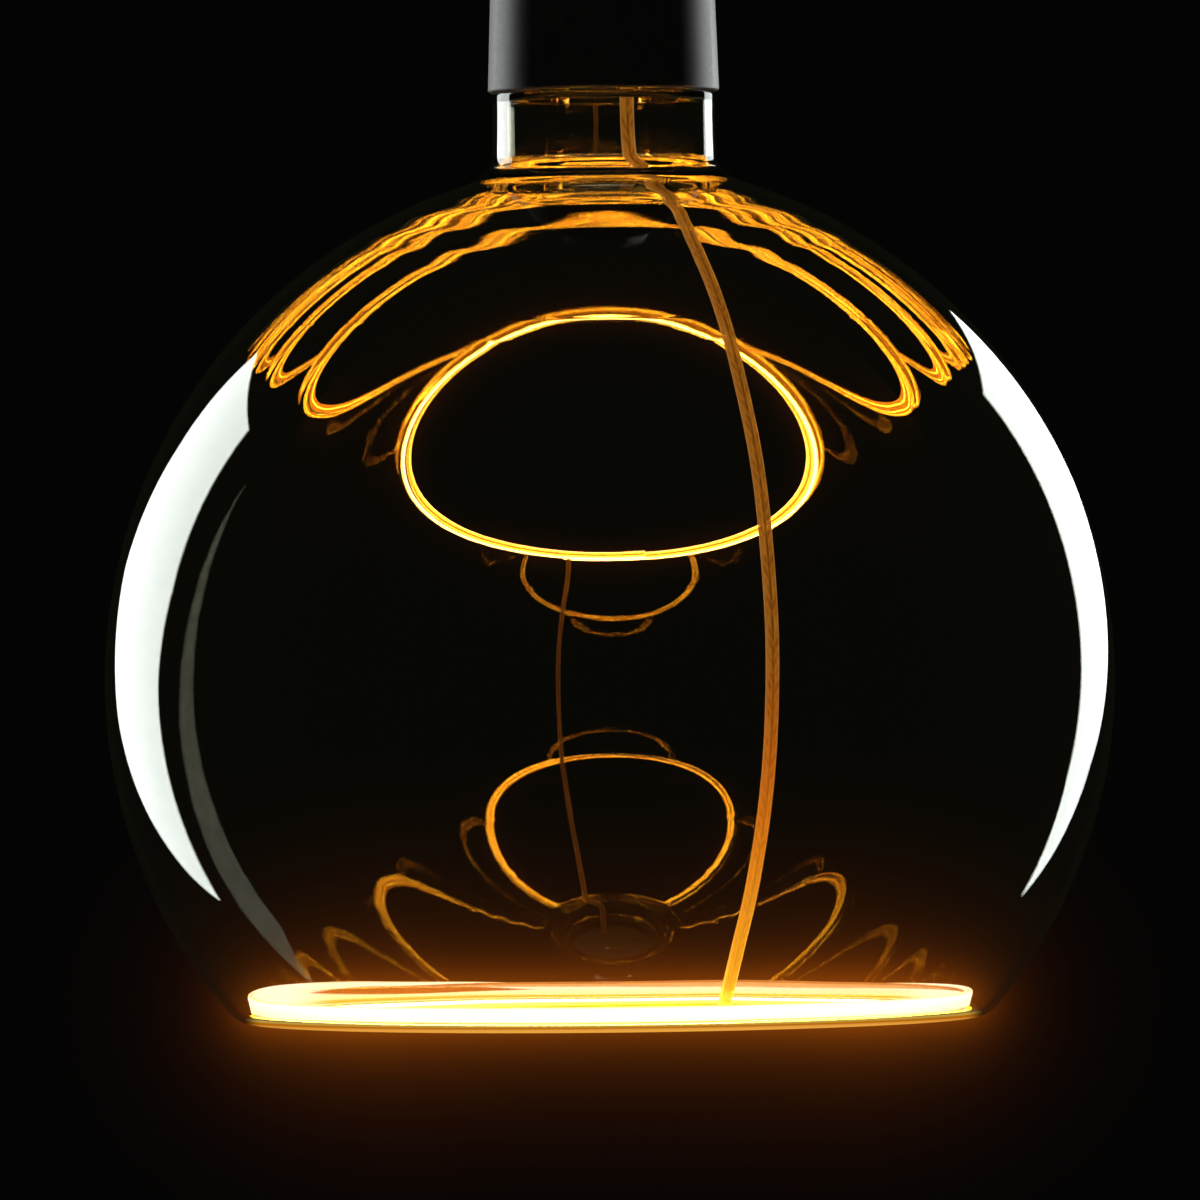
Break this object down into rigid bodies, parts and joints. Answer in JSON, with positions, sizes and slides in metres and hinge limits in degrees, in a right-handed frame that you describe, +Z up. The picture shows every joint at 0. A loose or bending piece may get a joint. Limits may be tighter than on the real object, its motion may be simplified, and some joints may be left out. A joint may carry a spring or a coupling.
{
  "type": "led globe bulb",
  "caption": "Large clear glass globe bulb with a flat bottom, a glowing ring of light tape lying in it, a thin flat lead up to a black collar, and a screw cap.",
  "frame": {"origin": "middle of the flat glass bottom, on its outer face", "axes": "+Z up along the globe's axis to the screw cap; -Y is the front, where the lead runs down the glass; +X is the viewer's right"},
  "size_m": [0.15, 0.15, 0.1978],
  "materials": {
    "clear_glass": "polished clear glass with a faint warm tint",
    "cement": "dark grey cement",
    "black_plastic": "fine matte black",
    "dark_plastic": "plain moulded dark grey",
    "cap_metal": "bright rolled sheet",
    "cap_insulator": "glossy black",
    "contact_metal": "tinned brass",
    "solder": "dull solder",
    "glow_coat": "glowing silicone coat",
    "printed_strip": "thin printed strip",
    "light_chip": "lit chips",
    "lead_jacket": "clear amber jacket over copper",
    "copper": "bare copper",
    "board_green": "solder mask",
    "package_black": "moulded black",
    "can_sleeve": "shrunk sleeve",
    "film_brown": "dipped coat",
    "ferrite": "dull grey",
    "winding": "enamelled wire",
    "resistor_green": "painted body"
  },
  "bodies": {
    "root": {"glass_globe": "clear_glass", "neck_cement": "cement", "collar": "black_plastic", "carrier_plate": "dark_plastic", "screw_shell": "cap_metal", "cap_insulator": "cap_insulator", "centre_contact": "contact_metal", "contact_bead": "solder", "tape_coat": "glow_coat", "tape_strip": "printed_strip", "light_chips": "light_chip", "tape_ends": "glow_coat", "supply_lead": "lead_jacket", "lead_cores": "copper", "lead_solder": "solder", "driver_board": "board_green", "driver_chip": "package_black", "bridge_rectifier": "package_black", "output_diode": "package_black", "chip_resistors": "package_black", "filter_capacitor": "can_sleeve", "film_capacitor": "film_brown", "choke_core": "ferrite", "choke_winding": "winding", "fuse_resistor": "resistor_green", "return_wire": "solder"}
  },
  "joints": []
}
